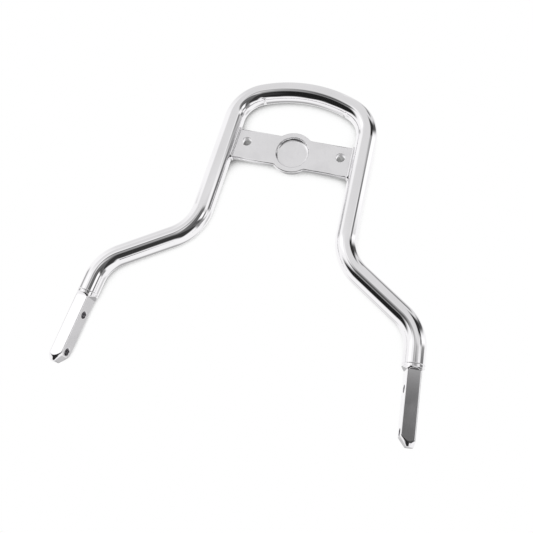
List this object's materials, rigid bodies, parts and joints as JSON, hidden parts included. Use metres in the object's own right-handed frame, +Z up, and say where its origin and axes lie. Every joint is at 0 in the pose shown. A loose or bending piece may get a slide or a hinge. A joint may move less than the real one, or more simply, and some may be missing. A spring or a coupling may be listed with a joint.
{
  "type": "sissy bar",
  "caption": "Upright bent from one chromed tube, with a cross plate for a backrest pad and a round badge, and a solid drilled foot at the end of each leg",
  "frame": {"origin": "Between the tips of the two feet, in the middle plane of the tube and at the height of the lowest points of the feet", "axes": "+Z up as the bar stands on the motorcycle, X across the motorcycle, -Y the side that the badge recess faces. The plane X = 0 is the plane of symmetry."},
  "size_m": [0.373, 0.0228, 0.3591],
  "materials": {
    "tube": "polished chrome plate",
    "plate": "chrome plate, a little softer on the flat faces",
    "foot": "chrome plate over machined flats",
    "weld": "chrome plate over a smoothed weld bead"
  },
  "bodies": {
    "root": {"hoop_tube": "tube", "cross_plate": "plate", "left_plate_weld": "weld", "right_plate_weld": "weld", "left_foot": "foot", "right_foot": "foot", "left_foot_weld": "weld", "right_foot_weld": "weld"}
  },
  "joints": []
}
